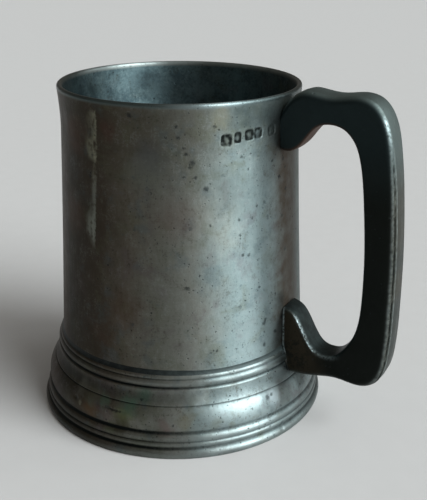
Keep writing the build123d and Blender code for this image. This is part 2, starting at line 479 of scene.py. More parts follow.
def handle_grid():
    """Rows of section points along the handle, with their wear maps and painted highlights."""
    stations = np.array(HANDLE_STATIONS)
    middle = (stations[:, :2] + stations[:, 2:]) / 2
    knots = travelled(middle)
    along = np.linspace(0, knots[-1], HANDLE_STEPS)
    lines = spline_through(knots, stations, along)
    still = np.zeros(len(along))
    wander = lumps(along, still, still, size=6.0, seed=3)
    breaks = lumps(along, still + 40, still, size=2.4, seed=5)
    knocks = lumps(along, still + 80, still, size=1.2, seed=8)
    layers = []
    for k, (crest_x, crest_z, inner_x, inner_z) in enumerate(lines):
        out = np.array([crest_x - inner_x, crest_z - inner_z])
        depth = np.linalg.norm(out)
        out /= depth
        section, maps, way = handle_section(depth)
        raised, dirt = scored_line(way, along[k], wander[k], breaks[k], knocks[k])
        section = section + outward(section) * raised[:, None]
        on_shoulder = np.interp(along[k], *SHOULDER_RUB_AND_HIGHLIGHT)
        on_heel = np.interp(along[k], *HEEL_HIGHLIGHT_AND_RUB)
        rubbed = on_shoulder * maps["shoulder"] + on_heel * maps["heel"]
        row_x = inner_x + out[0] * section[:, 0]
        row_z = inner_z + out[1] * section[:, 0]
        layers.append(np.stack([row_x, -section[:, 1], row_z, dirt, rubbed], 1))
    layers = trimmed_to_body(np.array(layers), along)
    grid, dirt, rubbed = layers[..., :3], layers[..., 3], layers[..., 4]
    # A painted glint, light caught along the near edge where the lower root meets the body
    from_root = HANDLE_ROWS - 1 - np.arange(HANDLE_ROWS)
    root_edge_glint = 0.85 * np.clip(1.2 - from_root / 2.5, 0, 1)
    above_foot = np.clip((grid[..., 2] - FOOT_HEIGHT + 1.5) / 2.5, 0.12, 1)
    rubbed = np.maximum(rubbed, root_edge_glint[:, None] * maps["near_side"] * above_foot)
    wear = {"hollow": dirt, "crest": -dirt, "rubbed": rubbed}
    wear.update({label: np.tile(maps[label], (HANDLE_ROWS, 1)) for label in ("cheek", "grip")})
    return grid, wear


def build_handle():
    """The cast handle, solid in the render because its hollow can't be seen."""
    grid, wear = handle_grid()
    rows, columns = grid.shape[:2]
    flat = grid.reshape(-1, 3)
    waves = 0.035 * lumps(flat[:, 0], flat[:, 1], flat[:, 2], size=9.0, seed=11)
    flat = flat + waves[:, None] * np.array([0.5, 0.6, 0.6])
    faces = quads(rows, columns, looped=False)
    faces.append(tuple(range(columns)))
    faces.append(tuple(range(rows * columns - columns, rows * columns)))
    return mesh_piece("cast_handle", flat, faces, crease=55, wear_maps=wear)


def round_from(x, y, turn):
    """How far round the body each point lies from the turn, in millimetres."""
    away = (np.arctan2(y, x) - math.radians(turn) + math.pi) % math.tau - math.pi
    return away * np.hypot(x, y)


def knocked(push, knocks, x, y, z):
    """The push outward, less the soft hollows of the knocks."""
    for turn, height, width, tall, depth in knocks:
        across = round_from(x, y, turn) / width
        push = push - depth * np.exp(-(across**2) - ((z - height) / tall) ** 2)
    return push


def drum_wear(x, y, z):
    """The drum's slow waves and small knocks, as a push outward."""
    push = 0.10 * lumps(x, y, z * 0.55, size=26.0, seed=1)
    push = push + 0.022 * lumps(x, y, z * 0.8, size=8.0, seed=2)
    return knocked(push, DRUM_KNOCKS, x, y, z)


def foot_wear(x, y, z):
    """The foot's slight waves and its nicked beads."""
    push = 0.045 * lumps(x, y, z, size=20.0, seed=4) + 0.012 * lumps(x, y, z, size=5.0, seed=6)
    return knocked(push, FOOT_KNOCKS, x, y, z)


def punch_marks(x, y, z):
    """Depth of the plain rubbed punches beside the handle, on the outside alone."""
    sunk = 0
    for turn, height, half_wide, half_tall, tilt, depth in PUNCHES:
        across, up = round_from(x, y, turn), z - height
        cosine, sine = math.cos(math.radians(tilt)), math.sin(math.radians(tilt))
        across, up = (
            (across * cosine + up * sine) / half_wide,
            (up * cosine - across * sine) / half_tall,
        )
        reach = (across**4 + up**4) ** 0.25
        floor = np.clip((1.06 - reach) / 0.2, 0, 1)
        floor = floor * floor * (3 - 2 * floor)
        boss = np.exp(-((across / 0.5) ** 4) - (up / 0.55) ** 4)
        burr = np.exp(-(((reach - 1.25) / 0.14) ** 2))
        sunk = sunk + depth * (floor - 0.62 * boss - 0.12 * burr)
    rubbed = 0.75 + 0.55 * lumps(x, y, z, size=1.1, seed=9)
    outside = np.hypot(x, y) > np.interp(z, *body_line()) - 0.6
    return sunk * rubbed * outside


# Knocks: turn in degrees from the handle, height, width, tall, depth
DRUM_KNOCKS = (
    (-128, 112, 3.2, 4.5, 0.16), (-96, 74, 6, 9, 0.14), (-70, 52, 5, 6, 0.1),
    (-40, 90, 4, 7, 0.1), (-30, 100, 2.2, 3, 0.12), (60, 80, 7, 9, 0.16),
    (118, 60, 6, 7, 0.18), (170, 92, 5, 8, 0.15),
)
# Punches: turn, height, half width, half height, tilt, depth
PUNCHES = (
    (-38.7, 109.4, 1.95, 2.1, -3, 0.24), (-33.2, 109.9, 1.25, 1.95, -2, 0.24),
    (-27.2, 110.3, 1.75, 1.9, 2, 0.24), (-22.3, 110.5, 1.75, 1.9, -2, 0.22),
    (-14, 110.5, 1.8, 1.9, 4, 0.11),
)
FOOT_KNOCKS = (
    (-107.1, 14, 0.8, 0.8, 0.42), (-88, 15, 3, 0.3, 0.24), (-11.7, 8.1, 0.5, 0.7, 0.28),
    (-17.2, 2.2, 0.45, 1.3, 0.22), (-14, 6.9, 0.3, 0.9, 0.16), (-15.3, 7, 0.3, 0.9, 0.16),
    (-75, 1.6, 1.6, 1, 0.15), (40, 12, 2, 1.4, 0.22), (140, 2, 2.2, 1, 0.22),
)
# Stains: turn, height, radius
DRUM_STAINS = (
    (-80.6, 118, 1.1), (-59.8, 111, 0.8), (-60.4, 114.6, 0.7), (-57.4, 107.6, 0.7),
    (-56.5, 105.6, 0.8), (-53.9, 102.7, 1.2), (-54.6, 101.2, 0.7), (-57.4, 98.1, 0.7),
    (-52.7, 97.7, 0.8), (-48, 93.8, 1.1), (-44, 114.3, 0.8), (-31.1, 103.3, 0.7),
    (-28, 98.9, 0.5), (-13.5, 99.7, 0.7), (-8.2, 93.2, 0.8), (-23.2, 85.4, 0.6),
    (-32.9, 81.9, 0.8), (-26, 81.6, 0.6), (-46.4, 81.1, 0.6), (-32.4, 76.4, 0.7),
    (-32.3, 75.2, 0.5), (-27.9, 68.7, 0.9), (-31, 69.2, 0.6), (-22.9, 66.1, 0.5),
    (-56.7, 59.5, 1), (-12.1, 51, 0.7), (-19.7, 42, 1.1), (-6.8, 41.2, 1.4),
    (-18.8, 43, 0.8), (-19.6, 38.5, 0.7), (-19.9, 33.8, 0.9), (-4.7, 99.3, 0.9),
    (-8.4, 93.7, 0.7), (-3, 96, 0.7), (-2.5, 88, 0.8), (-6, 79, 0.8),
    (-3.5, 66, 0.9), (-12.5, 36.9, 0.9), (-35.1, 35.5, 0.6), (-43.9, 36.1, 0.6),
    (-103.1, 95.2, 0.7), (75, 92, 1.2), (110, 70, 1), (152, 103, 1.1),
    (-140, 60, 1), (28, 48, 0.9),
)
FOOT_STAINS = (
    (-107.1, 14, 0.8), (-91, 15.2, 0.5), (-89.8, 15.1, 0.7), (-88.8, 15, 0.7),
    (-87.8, 14.9, 0.75), (-86.8, 14.85, 0.75), (-85.8, 14.8, 0.7), (-84.6, 14.7, 0.6),
    (-22.7, 15.8, 1.3), (-20.6, 16.2, 0.8), (-31, 14, 0.5), (-44.5, 13.6, 0.5),
    (-63, 12, 0.6), (-76, 19.5, 0.7), (35, 14, 1.1), (160, 12, 1),
)
# Tinted patches of tarnish: turn, height, radius, share, screen colour. On the foot the pale
# patches at turns -52, -48, -35.5 and -19 are painted highlights, those at -44, -35 and -33 are
# painted shade dimming the highlights, and the dark one at turn 0 under the lower arm is painted
# shadow with some dirt
FOOT_TINTS_AND_PAINTED_LIGHT = (
    (-82.5, 13.4, 4.2, 0.65, (110, 120, 80)), (-81, 17.2, 4.4, 0.65, (86, 116, 100)),
    (-92, 16.6, 3.2, 0.6, (90, 114, 98)), (-105, 18.4, 3.5, 0.5, (106, 108, 98)),
    (-104.9, 13.2, 1, 0.6, (112, 110, 94)), (-99, 12.2, 4.6, 0.45, (98, 76, 54)),
    (-66, 11, 4.2, 0.5, (104, 80, 78)), (-58, 13.2, 3.5, 0.4, (122, 116, 92)),
    (-75, 21, 4, 0.5, (82, 108, 96)), (-88, 8.4, 2.6, 0.5, (84, 96, 72)),
    (-44, 1, 10, 0.25, (62, 68, 67)), (-22.7, 15.6, 4.5, 0.5, (70, 78, 78)),
    (-14, 14.5, 6, 0.5, (66, 62, 52)), (-35.5, 15.2, 3.2, 0.25, (166, 178, 178)),
    (-33, 26.5, 5, 0.4, (84, 92, 92)), (-26, 20.5, 4.5, 0.3, (70, 78, 78)),
    (0, 16.5, 6.5, 0.65, (44, 46, 42)), (-98, 17, 4.5, 0.55, (98, 100, 86)),
    (-84, 9.6, 5, 0.75, (56, 54, 40)), (-52, 20.5, 4.5, 0.45, (178, 190, 188)),
    (-48, 4.6, 8, 0.25, (178, 190, 188)), (-35, 16.8, 3.5, 0.35, (112, 122, 122)),
    (-19, 15, 4, 0.4, (186, 202, 206)), (-70, 9, 4.5, 0.35, (70, 72, 62)),
)
DRUM_TINTS = (
    (-115, 108, 8, 0.45, (84, 60, 46)), (-117, 80, 9, 0.45, (78, 58, 44)),
    (-92, 112, 5, 0.35, (88, 60, 54)), (-72, 104, 7, 0.35, (70, 72, 84)),
    (-84, 50, 9, 0.35, (80, 56, 44)), (-96, 40, 7, 0.35, (76, 58, 42)),
    (-42, 117, 5, 0.3, (128, 124, 98)), (-38, 76, 8, 0.28, (142, 146, 138)),
    (-62, 84, 9, 0.3, (104, 84, 78)), (-9, 48, 4.5, 0.55, (44, 48, 46)),
    (-28, 117.5, 10, 0.65, (54, 64, 64)), (-15, 115.5, 7, 0.5, (54, 66, 66)),
    (-37, 92, 11, 0.45, (84, 92, 90)), (-75, 99, 9, 0.35, (116, 122, 114)),
)
# Painted shade inside the drum, narrowing the lining's highlight: turn, height, radius, share,
# screen colour
LINING_PAINTED_SHADE = (
    (142, 114, 9, 0.6, (42, 54, 58)), (126, 110, 9, 0.45, (38, 48, 52)),
    (176, 114, 5, 0.4, (44, 56, 58)),
)
# Bands of painted shade round the foot, which darken the cove and dim the highlights on the beads:
# height, width, share
FOOT_SHADE_BANDS = ((20.6, 4.4, 0.28), (0.8, 3.4, 0.45), (5.6, 3.6, 0.3), (25.5, 3.6, 0.22))


def build_drum():
    """The tapered drum with its rounded brim, open at the top."""
    outer = joined(
        drum_wall_line(0, 90),
        rising_flare((WAIST_RADIUS, WAIST_HEIGHT), (LIP_RADIUS, LIP_CENTRE_HEIGHT), 24),
    )
    brim = three_point_arc(
        (LIP_RADIUS, LIP_CENTRE_HEIGHT),
        (LIP_RADIUS - LIP_THICKNESS / 2, RIM_HEIGHT),
        (LIP_RADIUS - LIP_THICKNESS, LIP_CENTRE_HEIGHT),
        15,
    )
    flare = rising_flare(
        (WAIST_RADIUS - DRUM_WALL, WAIST_HEIGHT),
        (LIP_RADIUS - LIP_THICKNESS, LIP_CENTRE_HEIGHT),
        20,
    )
    face = softened(at_even_steps(joined(outer, brim), step=0.2), spread=1.4)
    groove = relief(face, spread=4)
    keep = np.zeros(len(face), bool)
    keep[::4] = True
    lowest, highest = PUNCH_HEIGHTS
    keep |= (face[:, 1] > lowest) & (face[:, 1] < highest) & (face[:, 0] > WAIST_RADIUS - 1)
    keep |= face[:, 1] > RIM_HEIGHT - BRIM_BAND
    face, groove = face[keep], groove[keep]
    lining_line = joined(flare[::-1], drum_wall_line(-DRUM_WALL, 50)[::-1])
    inside = at_even_steps(lining_line, step=0.9)
    spigot = [
        (SPIGOT_RADIUS - DRUM_WALL, LEDGE_HEIGHT),
        (SPIGOT_RADIUS, LEDGE_HEIGHT),
    ]
    outline = joined(face, inside, spigot)
    lining = (np.arange(len(outline)) >= len(groove)).astype(float)
    groove = np.concatenate([groove, np.zeros(len(outline) - len(groove))])
    turns = even_turns(DRUM_TURNS)
    first, last = PUNCH_TURNS
    fine = np.radians(np.arange(first, last, FINE_TURN))
    apart = np.abs((turns - math.radians((first + last) / 2) + math.pi) % math.tau - math.pi)
    coarse = turns[apart > math.radians((last - first) / 2 + 0.5)]
    turns = np.sort(np.concatenate([coarse, fine % math.tau]))
    return turned("turned_drum", outline, turns, drum_wear, punch_marks, groove, lining)


def build_foot():
    """The moulded foot, hollow underneath."""
    face = softened(at_even_steps(foot_face_line(), step=0.16), spread=1.05)
    under = bowed((SKIRT_TOP_RADIUS, LEDGE_UNDERSIDE), (RING_INNER_RADIUS, 0), -SKIRT_BOW, 16)
    inside = [
        (SOCKET_RADIUS, FOOT_HEIGHT),
        (SOCKET_RADIUS, LEDGE_HEIGHT),
        (LEDGE_INNER_RADIUS, LEDGE_HEIGHT),
        (LEDGE_INNER_RADIUS, LEDGE_UNDERSIDE),
    ]
    outline = joined(face, inside, under)
    groove = np.concatenate([relief(face, spread=6), np.zeros(len(outline) - len(face))])
    return turned("moulded_foot", outline, even_turns(FOOT_TURNS), foot_wear, groove=groove)


def build_foot_solder():
    """The wiped fillet of solder where the drum leaves the foot."""
    slope = bowed((COLLAR_RADIUS, FOOT_HEIGHT), (SPIGOT_RADIUS, SPIGOT_TOP), -0.1, 7)
    outline = joined(slope, [(SPIGOT_RADIUS - 0.05, FOOT_HEIGHT)])
    return turned("foot_joint_fillet", outline, even_turns(FOOT_TURNS), foot_wear)


def build_floor_disc():
    """The floor of the drum, with the lathe's faint rings."""
    rings = np.linspace(DISC_RADIUS, 0, 90)
    ripple = LATHE_RIPPLE * np.sin(rings * 2.1)
    top = np.stack([rings, FLOOR_HEIGHT + ripple - LATHE_RIPPLE], 1)
    under = np.array([
        (0, LEDGE_HEIGHT + RECESS_DEPTH),
        (RECESS_RADIUS, LEDGE_HEIGHT + RECESS_DEPTH),
        (RECESS_RADIUS + RECESS_DEPTH, LEDGE_HEIGHT),
    ])
    outline = joined(top, under, [(DISC_RADIUS, LEDGE_HEIGHT)])
    lining = np.ones(len(outline))
    return turned("turned_floor", outline, even_turns(FLOOR_TURNS), inside=lining)


class Signal:
    """A value that varies over a surface, with sums that add their own nodes."""

    def __init__(self, finish, socket):
        self.finish = finish
        self.socket = socket

    def sum(self, operation, first, second=0):
        return self.finish.add("ShaderNodeMath", {"operation": operation}, {0: first, 1: second})

    def __add__(self, other):
        return self.sum("ADD", self, other)

    __radd__ = __add__

    def __sub__(self, other):
        return self.sum("SUBTRACT", self, other)

    def __rsub__(self, other):
        return self.sum("SUBTRACT", other, self)

    def __mul__(self, other):
        return self.sum("MULTIPLY", self, other)

    __rmul__ = __mul__

    def __truediv__(self, other):
        return self.sum("DIVIDE", self, other)

    def __pow__(self, other):
        return self.sum("POWER", self, other)

    def __abs__(self):
        return self.sum("ABSOLUTE", self)


class Finish:
    """A material that is built one node at a time."""

    def __init__(self, name):
        self.material = bpy.data.materials.new(name)
        self.material.use_nodes = True
        self.tree = self.material.node_tree
        self.tree.nodes.clear()
        coordinates = self.add("ShaderNodeTexCoord", output="Object")
        self.place = self.vector("SCALE", coordinates, 1 / MM)
        self.x, self.y, self.z = (
            self.add("ShaderNodeSeparateXYZ", sockets={0: self.place}, output=axis)
            for axis in "XYZ"
        )

    def add(self, kind, settings=None, sockets=None, output=0):
        """Add a node: its settings first, then the values or links of its sockets."""
        node = self.tree.nodes.new(kind)
        for name, value in (settings or {}).items():
            if name == "stops":
                ramp = node.color_ramp
                while len(ramp.elements) < len(value):
                    ramp.elements.new(0.5)
                for element, (position, colour) in zip(ramp.elements, value):
                    element.position, element.color = position, colour
            else:
                setattr(node, name, value)
        for name, value in (sockets or {}).items():
            if isinstance(value, Signal):
                self.tree.links.new(value.socket, node.inputs[name])
            else:
                node.inputs[name].default_value = value
        return Signal(self, node.outputs[output]) if len(node.outputs) else node

    def vector(self, operation, first, second):
        """Vector maths with another vector or, to scale it, with a number."""
        place = 3 if operation == "SCALE" else 1
        sockets = {0: first, place: second}
        return self.add("ShaderNodeVectorMath", {"operation": operation}, sockets)

    def noise(self, size, detail, roughness, stretch=None, distortion=0):
        """Cloudy noise whose lumps have the size in millimetres."""
        vector = self.place
        if stretch:
            vector = self.vector("MULTIPLY", vector, stretch)
        sockets = {"Vector": vector, "Scale": 1 / size, "Detail": detail}
        sockets.update({"Roughness": roughness, "Distortion": distortion})
        return self.add("ShaderNodeTexNoise", {"noise_dimensions": "3D"}, sockets)

    def step(self, value, low, high):
        """A soft step that is 0 below low and 1 above high."""
        sockets = {"Value": value, "From Min": low, "From Max": high}
        return self.add("ShaderNodeMapRange", {"interpolation_type": "SMOOTHSTEP"}, sockets)

    def band(self, value, centre, width):
        """1 at the centre, down to 0 at the width on each side."""
        return 1 - self.step(abs(value - centre), 0.15 * width, width)

    def blend(self, mask, first, second):
        """The first colour where the mask is 0, the second where it is 1."""
        settings = {"data_type": "RGBA", "clamp_factor": True}
        return self.add("ShaderNodeMix", settings, {0: mask, 6: first, 7: second}, output=2)

    def laid_over(self, base, *layers):
        """The base with colours laid over it in turn, each where its mask is 1."""
        for mask, colour in layers:
            base = self.blend(mask, base, colour)
        return base

    def shaken(self, size, reach):
        """The place, pushed about by up to the reach, for ragged outlines."""
        sockets = {"Vector": self.place, "Scale": 1 / size, "Detail": 2}
        push = self.add("ShaderNodeTexNoise", sockets=sockets, output="Color")
        push = self.vector("SUBTRACT", push, (0.5, 0.5, 0.5))
        return self.vector("ADD", self.place, self.vector("SCALE", push, 2 * reach))

    def spot(self, place, turn, height, radius):
        """1 at a spot on the body, down to 0 a little beyond the radius."""
        reach = float(np.interp(height, *body_line()))
        angle = math.radians(turn)
        centre = (reach * math.cos(angle), reach * math.sin(angle), height)
        sockets = {0: place, 1: centre}
        away = self.add("ShaderNodeVectorMath", {"operation": "DISTANCE"}, sockets, output="Value")
        return 1 - self.step(away, 0.2 * radius, 1.2 * radius)

    def wear_map(self, label):
        """The wear that the piece carries under the label."""
        settings = {"attribute_type": "GEOMETRY", "attribute_name": label}
        return self.add("ShaderNodeAttribute", settings, output="Fac")

    def pits(self, size, reach, share):
        """Small ragged pits in some of the cells of the size: 1 in a pit, 0 outside."""
        place = self.shaken(0.6 * size, 0.25 * size)
        sockets = {"Vector": place, "Scale": 1 / size}
        distance = self.add("ShaderNodeTexVoronoi", sockets=sockets, output="Distance")
        colour = self.add("ShaderNodeTexVoronoi", sockets=sockets, output="Color")
        pick = self.add("ShaderNodeSeparateColor", sockets={0: colour}, output="Red")
        radius = self.step(pick, 1 - share, 1) * reach
        return self.step(radius - distance, 0, reach * 0.35)

    def surface(self, colour, roughness, relief=None, depth=0, **others):
        """Close the material; a relief of 1 stands out by the depth in metres."""
        sockets = {name.replace("_", " "): value for name, value in others.items()}
        sockets.update({"Base Color": colour, "Roughness": roughness})
        if relief:
            bump = {"Height": relief, "Distance": depth}
            sockets["Normal"] = self.add("ShaderNodeBump", sockets=bump)
        shader = self.add("ShaderNodeBsdfPrincipled", sockets=sockets)
        self.add("ShaderNodeOutputMaterial", sockets={"Surface": shader})
        return self.material


BROWN_PEWTER = shade(62, 57, 45)
GRIME_AND_REFLECTION_BROWN = shade(74, 62, 50)
BAND_SHADE_PEWTER = shade(62, 68, 67)
OLIVE_PEWTER = shade(92, 96, 78)
PLUM_PEWTER = shade(94, 84, 88)
SLATE_PEWTER = shade(78, 94, 100)
INNER_PEWTER = shade(84, 102, 105)
INNER_TARNISH = shade(60, 76, 80)
RUBBED_PEWTER = shade(148, 156, 154)
BRIM_PEWTER = shade(82, 96, 97)
RIM_HIGHLIGHT_PEWTER = shade(166, 182, 184)
WINDOW_REFLECTION_LOW = shade(126, 131, 122)
WINDOW_REFLECTION_HIGH = shade(140, 141, 122)
# Tarnish and painted light round the body, from the side away from the handle to the side near it:
# the dark brown stops are painted shade with a painted brown reflection, the pale bluish stops a
# painted reflection of the window
TARNISH_AND_PAINTED_LIGHT_STOPS = (
    (0.00, shade(58, 46, 35)),
    (0.09, shade(48, 45, 36)),
    (0.37, shade(70, 63, 54)),
    (0.54, shade(101, 97, 88)),
    (0.69, shade(115, 117, 110)),
    (0.81, shade(127, 130, 124)),
    (0.91, shade(119, 134, 134)),
    (1.00, shade(132, 147, 148)),
)
BACK_PEWTER = shade(109, 108, 101)
BACK_TARNISH = shade(100, 98, 89)
PIT_DARK = shade(40, 45, 46)
GROOVE_DIRT = shade(28, 32, 31)
CHEEK_PATINA_AND_SHADE = shade(27, 30, 28)
CHEEK_TEAL_SHEEN = shade(36, 45, 46)
CHEEK_BROWN = shade(48, 44, 36)
FAR_CHEEK = shade(84, 90, 88)
GRIP_PAINTED_REFLECTION = shade(84, 56, 40)
GRIP_GREY = shade(52, 62, 62)
GRIP_DARK = shade(41, 48, 48)
SPINE_GREY = shade(63, 70, 67)
SPINE_OLIVE = shade(74, 75, 68)
SPINE_UPPER = shade(92, 103, 101)
LINE_BRIGHT = shade(166, 178, 178)
HIGHLIGHT_AND_RUB_COOL = shade(164, 180, 182)
HIGHLIGHT_AND_RUB_WARM = shade(176, 182, 172)
SOLDER_BLACK = shade(22, 26, 26)
SOLDER_DIRTY = shade(35, 40, 39)
SOLDER_WIPED = shade(66, 76, 76)
SOLDER_GLINT = shade(118, 130, 131)
SOLDER_DULL = shade(74, 84, 84)
GROUND_PALE = shade(183, 182, 181)
GROUND_PALER = shade(187, 186, 185)


class TurnedPewter(Finish):
    """Old turned pewter: the noises and maps that its layers share, and the layers."""

    def __init__(self, name, dirt, grit):
        super().__init__(name)
        self.cloud = self.noise(30, 4, 0.55)
        self.hue = self.noise(9, 4, 0.6, distortion=0.4)
        self.tint = self.noise(7, 4, 0.6)
        self.mottle = self.noise(5, 5, 0.62)
        self.speck = self.noise(1.1, 3, 0.6)
        self.grain = self.noise(0.55, 2, 0.6)
        self.lathe = self.noise(1, 3, 0.65, stretch=(0.05, 0.05, 2.6))
        self.rub = self.noise(1, 3, 0.55, stretch=(0.8, 0.8, 0.13))
        self.patches = self.noise(2.4, 2, 0.5)
        field = self.noise(14, 2, 0.5)
        self.deep_pits = self.pits(2.3, 0.2, 0.6) * self.step(field, 0.4, 0.56)
        self.fine_pits = self.pits(1.25, 0.3, 0.8) * self.step(field, 0.36, 0.56)
        self.blotches = self.pits(4.2, 0.22, 0.5) * self.step(self.mottle, 0.4, 0.6)
        # How far toward the handle's side, which is also the lamps' side: it drives the painted
        # light and shade of the tarnish stops
        self.toward_handle_and_lamps = (self.x * 0.98 - self.y * 0.17) / 45 + self.sway(cloud=0.35)
        self.cleaned_and_lit_side = self.step(self.toward_handle_and_lamps, 0.1, 0.9)
        self.inside = self.wear_map("inside")
        self.crest = self.wear_map("crest")
        self.hollow = self.wear_map("hollow") * dirt * (1.15 - 0.6 * self.cleaned_and_lit_side)
        self.brim = self.step(self.z, 119.9, 121.2)
        self.grit = grit
        self.lively = (0.09 + 0.24 * self.step(self.toward_handle_and_lamps, -0.6, 0.5)) * grit

    def sway(self, **shares):
        """The named noises round their middles, each times its share, added up."""
        return sum((getattr(self, label) - 0.5) * share for label, share in shares.items())

    def tarnish(self):
        """The tarnish outside, brown away from the handle, with painted shade on that side and
        painted light toward the handle, and the cold one of the lining.
        """
        stops = {"stops": TARNISH_AND_PAINTED_LIGHT_STOPS}
        base = self.add("ShaderNodeValToRGB", stops, {"Fac": (self.toward_handle_and_lamps + 0.5) / 1.5})
        dull = self.step(self.z + self.sway(cloud=30), 86, 114)
        base = self.blend(dull * 0.4, base, BROWN_PEWTER)
        # On the side hidden from the viewpoint a paler pewter replaces the painted shade of the
        # stops: painted light where the lamps give little
        kept_back = self.y * 0.85 - self.x * 0.52 + self.sway(cloud=12)
        kept_back = self.step(kept_back, -2, 18)
        aged = self.step(self.hue * 0.7 + self.lathe * 0.3, 0.36, 0.62)
        aged = self.blend(aged, BACK_PEWTER, BACK_TARNISH)
        base = self.blend(kept_back * (0.84 + 0.1 * self.mottle), base, aged)
        lining = self.step(self.tint * 0.7 + self.speck * 0.3, 0.42, 0.64)
        lining = self.blend(lining, INNER_PEWTER, INNER_TARNISH)
        return self.blend(self.inside, base, lining)

    def clouded(self, base):
        """Olive, plum and slate clouds, brown grain, and grain that is rubbed paler."""
        shift = self.sway(mottle=0.9, speck=0.65, grain=0.35, lathe=0.25, rub=0.35)
        cleaner = 0.1 + 0.2 * self.step(self.toward_handle_and_lamps, 0, 0.8)
        return self.laid_over(
            base,
            (self.step(self.hue, 0.52, 0.68) * self.lively, OLIVE_PEWTER),
            (self.step(1 - self.hue, 0.54, 0.7) * self.lively, PLUM_PEWTER),
            (self.step(self.tint, 0.53, 0.7) * self.lively, SLATE_PEWTER),
            (self.step(shift, 0.02, 0.34) * 0.42 * self.grit, BROWN_PEWTER),
            (self.step(0 - shift, 0.02, 0.32) * cleaner, RUBBED_PEWTER),
        )

    def grime_and_reflection(self, base):
        """Grime where no cloth reaches, and a painted brown reflection, behind the handle."""
        y, z, step = self.y, self.z, self.step
        behind = self.band(y + self.sway(mottle=8), 0, 15) * step(self.x, 20, 34)
        behind = behind * step(z, 27, 31) * (1 - step(z, 104, 116))
        return self.blend(behind * (0.55 + 0.6 * self.mottle), base, GRIME_AND_REFLECTION_BROWN)

    def painted_window_streak(self, base):
        """A painted reflection of a window: the long pale streak down the drum on the side away
        from the handle.
        """
        z, step, band = self.z, self.step, self.band
        aside = self.x + 5.9 + (118 - z) * 0.05 + self.sway(speck=1.3)
        wide = 1.9 + 3 * band(z, 109, 15) + 2.6 * band(z, 78, 9)
        streak = step(aside / wide, -1.25, -0.55) * (1 - step(aside, -0.3, 0.5))
        streak = streak * step(0 - self.y, 30, 36) * step(z, 68, 74)
        streak = streak * (1 - self.inside) * (1 - step(z, 117, 119))
        streak = streak * step(self.rub * 0.45 + self.patches * 0.55, 0.33, 0.56)
        glow = 0.34 + 0.45 * step(aside, -2.2, -0.6) - 0.4 * band(z, 99, 4.5)
        glow = glow + 0.6 * band(z, 104.5, 5) + 0.5 * band(z, 78, 7)
        # The pale colours here are the painted reflection of a window, not wear
        worn = self.blend(step(z, 89, 101), WINDOW_REFLECTION_LOW, WINDOW_REFLECTION_HIGH)
        return self.blend(streak * glow * (0.45 + 0.9 * self.mottle), base, worn)

    def brimmed(self, base):
        """The brim's darker top, its inner edge rubbed and painted pale as a highlight, and a
        painted highlight on the brim's front near the handle.
        """
        x, y, brim, mottle = self.x, self.y, self.brim, self.mottle
        inner_edge = 1 - self.step((x * x + y * y) ** 0.5, 42.6, 43.6)
        # A painted highlight on the front of the brim near the handle, where the window lamp
        # shines on it
        rim_highlight = brim * self.band(x, 31, 15) * self.step(0 - y, 5, 18)
        return self.laid_over(
            base,
            (brim * 0.8, BRIM_PEWTER),
            (brim * inner_edge * (0.1 + 0.9 * mottle), RUBBED_PEWTER),
            (rim_highlight * (0.1 + 0.5 * mottle), RIM_HIGHLIGHT_PEWTER),
        )

    def pitted(self, base):
        """Slate blotches and dark pits."""
        return self.laid_over(
            base,
            (self.blotches * self.lively, SLATE_PEWTER),
            (self.blotches * 0.25 * self.grit, PIT_DARK),
            (self.fine_pits * (0.35 + 0.25 * self.cleaned_and_lit_side) * self.grit, PIT_DARK),
            (self.deep_pits * 0.6, PIT_DARK),
        )

    def tinted(self, base, place, tints, mask=1):
        """Patches of tarnish, painted shade and painted highlight, each in its own tint, where the
        mask lets them show.
        """
        for turn, height, radius, share, colour in tints:
            spot = self.spot(place, turn, height, radius)
            spot = spot * (0.3 + 1.4 * self.mottle) * (mask * share)
            base = self.blend(spot, base, shade(*colour))
        return base

    def roughness(self, gloss):
        """Rougher in pits and grooves, smoother on crests and on the brim."""
        rough = 0.55 - gloss + self.sway(mottle=0.14, rub=0.12)
        return rough + (self.deep_pits + self.hollow) * 0.15 - (self.crest + self.brim) * 0.08

    def fine_relief(self):
        """The height of the finest waves, lathe lines and pits."""
        waves = self.sway(mottle=0.6, patches=0.5, speck=0.34, grain=0.26, lathe=0.14, rub=0.14)
        return waves - self.deep_pits * 0.7 - self.fine_pits * 0.4


def turned_pewter(
    name, stains, tints, lining_shade=(), shade_bands=(), gloss=0, dirt=1, grit=1
):
    """The finish of a turned piece, with its own stains, tints and bands of painted shade."""
    finish = TurnedPewter(name, dirt, grit)
    base = finish.painted_window_streak(finish.grime_and_reflection(finish.clouded(finish.tarnish())))
    for height, width, share in shade_bands:
        base = finish.blend(finish.band(finish.z, height, width) * share, base, BAND_SHADE_PEWTER)
    gleam = finish.cleaned_and_lit_side * (gloss * 0.5 + finish.crest * (0.2 + 0.3 * finish.mottle))
    base = finish.blend(gleam, base, RUBBED_PEWTER)
    base = finish.pitted(finish.brimmed(base))
    ragged = finish.shaken(4, 3)
    base = finish.tinted(base, ragged, tints)
    base = finish.tinted(base, ragged, lining_shade, finish.inside)
    ragged = finish.shaken(0.9, 0.8)
    stained = sum(finish.spot(ragged, *stain) for stain in stains)
    dirty = finish.hollow * (0.7 + 0.6 * finish.speck)
    base = finish.laid_over(base, (stained * 0.75, PIT_DARK), (dirty, GROOVE_DIRT))
    return finish.surface(
        base,
        finish.roughness(gloss),
        finish.fine_relief(),
        depth=0.00006,
        Metallic=1,
        Anisotropic=0.8,
        Anisotropic_Rotation=0.25,
    )


